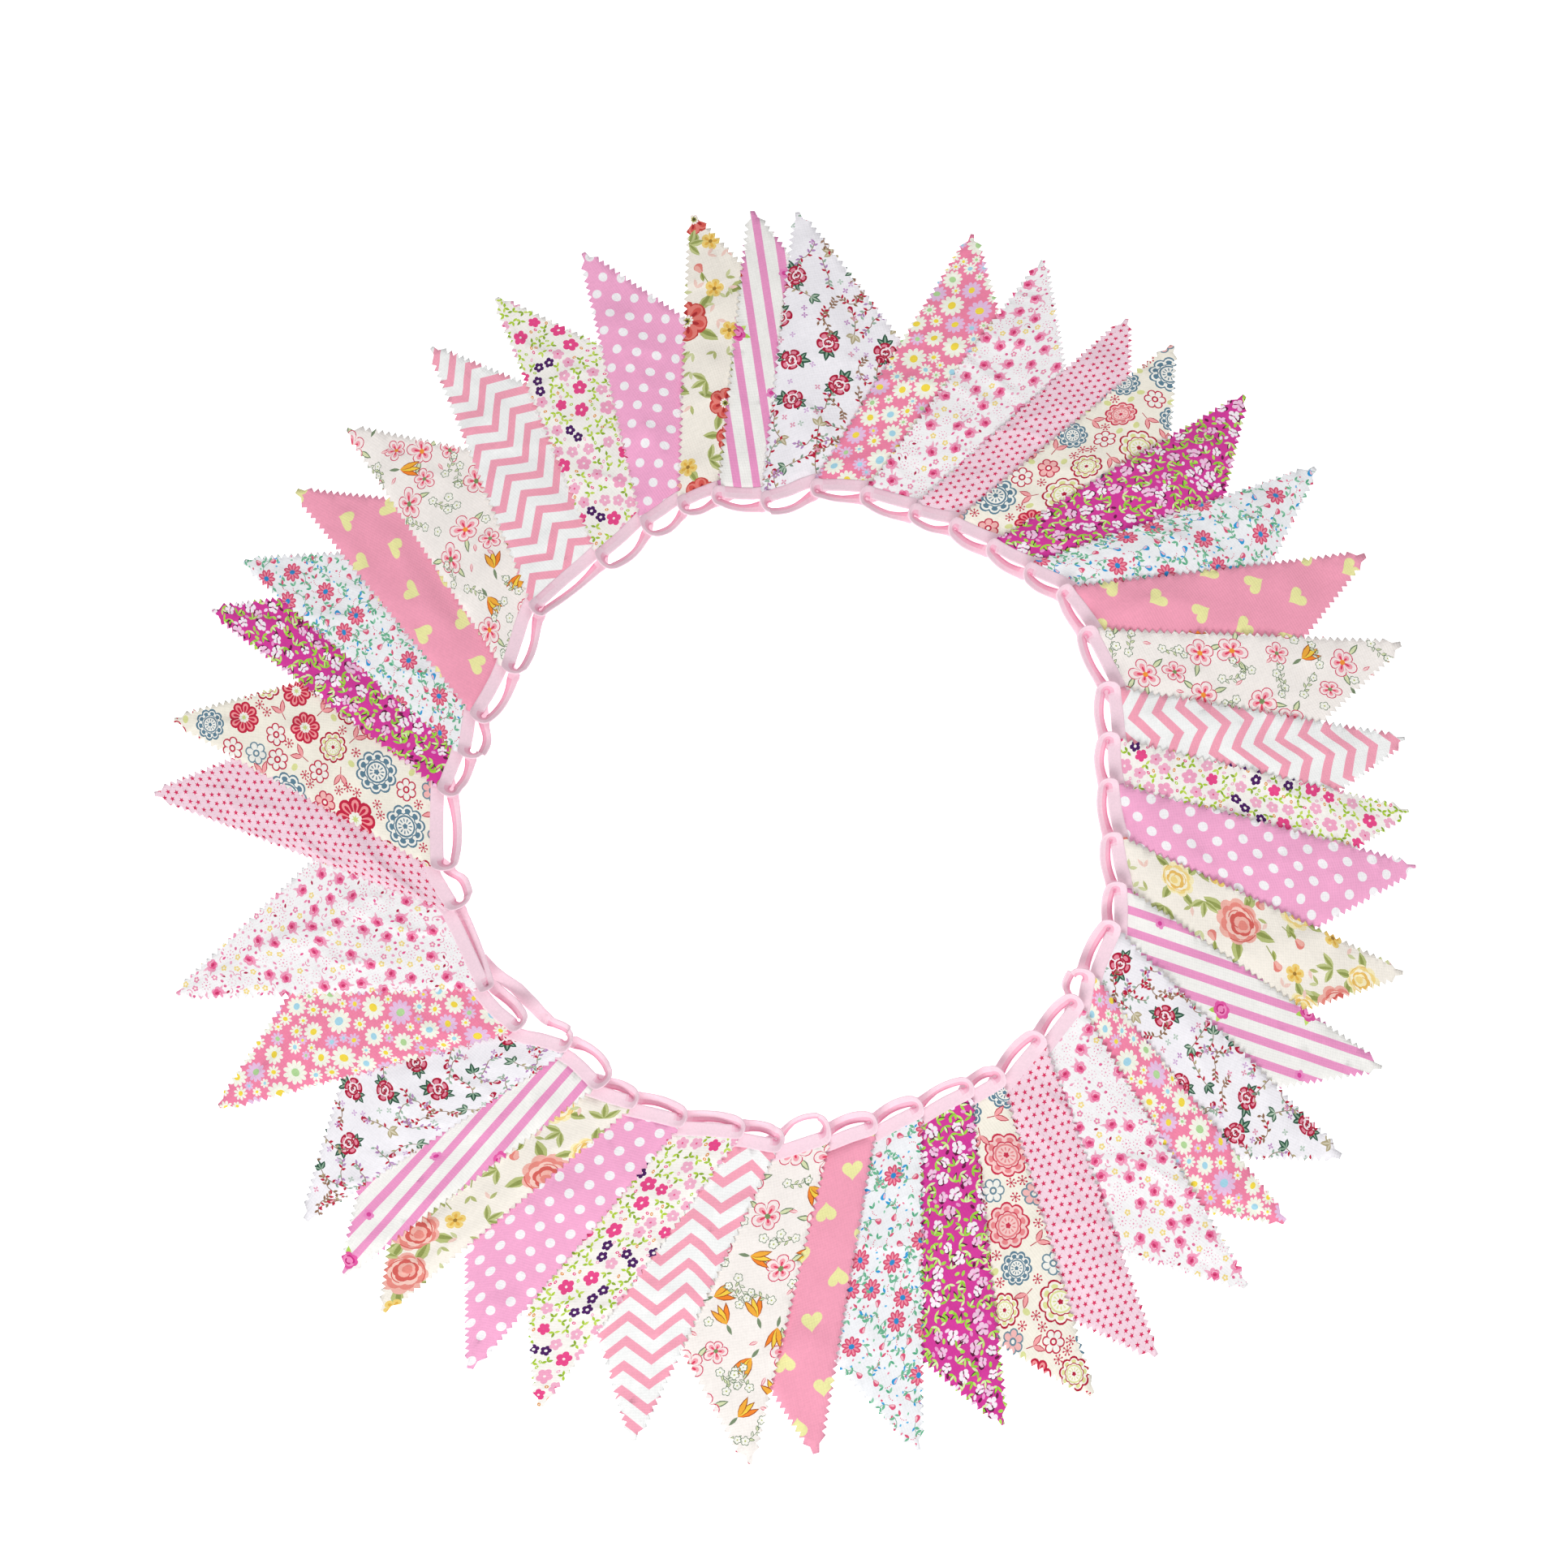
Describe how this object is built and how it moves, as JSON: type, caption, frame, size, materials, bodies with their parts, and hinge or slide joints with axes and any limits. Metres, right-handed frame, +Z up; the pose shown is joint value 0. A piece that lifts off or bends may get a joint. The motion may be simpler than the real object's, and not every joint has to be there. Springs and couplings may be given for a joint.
{
  "type": "fabric bunting",
  "caption": "Cotton bunting of pinked triangular flags in pink prints on one folded bias tape, laid flat as a closed ring with each flag over the one before.",
  "frame": {"origin": "centre of the bounding box in plan, at the surface the bunting lies on", "axes": "+Z up from the surface, +Y away from the viewer of the picture, +X to the viewer's right"},
  "size_m": [0.8336, 0.8324, 0.0118],
  "materials": {
    "large_rose": "matte printed cotton",
    "rose_stripe": "matte printed cotton",
    "briar": "matte printed cotton",
    "daisy": "matte printed cotton",
    "small_rose": "matte printed cotton",
    "star": "matte printed cotton",
    "folk_flower": "matte printed cotton",
    "magenta_flower": "matte printed cotton",
    "ditsy": "matte printed cotton",
    "heart": "matte printed cotton",
    "outlined_flower": "matte printed cotton",
    "chevron": "matte printed cotton",
    "purple_sprig": "matte printed cotton",
    "polka_dot": "matte printed cotton",
    "bias_tape": "smooth folded cotton bias tape"
  },
  "bodies": {
    "root": {"flag_01_large_rose": "large_rose", "flag_02_rose_stripe": "rose_stripe", "flag_03_briar": "briar", "flag_04_daisy": "daisy", "flag_05_small_rose": "small_rose", "flag_06_star": "star", "flag_07_folk_flower": "folk_flower", "flag_08_magenta_flower": "magenta_flower", "flag_09_ditsy": "ditsy", "flag_10_heart": "heart", "flag_11_outlined_flower": "outlined_flower", "flag_12_chevron": "chevron", "flag_13_purple_sprig": "purple_sprig", "flag_14_polka_dot": "polka_dot", "flag_15_large_rose": "large_rose", "flag_16_rose_stripe": "rose_stripe", "flag_17_briar": "briar", "flag_18_daisy": "daisy", "flag_19_small_rose": "small_rose", "flag_20_star": "star", "flag_21_folk_flower": "folk_flower", "flag_22_magenta_flower": "magenta_flower", "flag_23_ditsy": "ditsy", "flag_24_heart": "heart", "flag_25_outlined_flower": "outlined_flower", "flag_26_chevron": "chevron", "flag_27_purple_sprig": "purple_sprig", "flag_28_polka_dot": "polka_dot", "flag_29_large_rose": "large_rose", "flag_30_rose_stripe": "rose_stripe", "flag_31_briar": "briar", "flag_32_daisy": "daisy", "flag_33_small_rose": "small_rose", "flag_34_star": "star", "flag_35_folk_flower": "folk_flower", "flag_36_magenta_flower": "magenta_flower", "flag_37_ditsy": "ditsy", "flag_38_heart": "heart", "flag_39_outlined_flower": "outlined_flower", "flag_40_chevron": "chevron", "flag_41_purple_sprig": "purple_sprig", "flag_42_polka_dot": "polka_dot", "bias_tape": "bias_tape"}
  },
  "joints": []
}
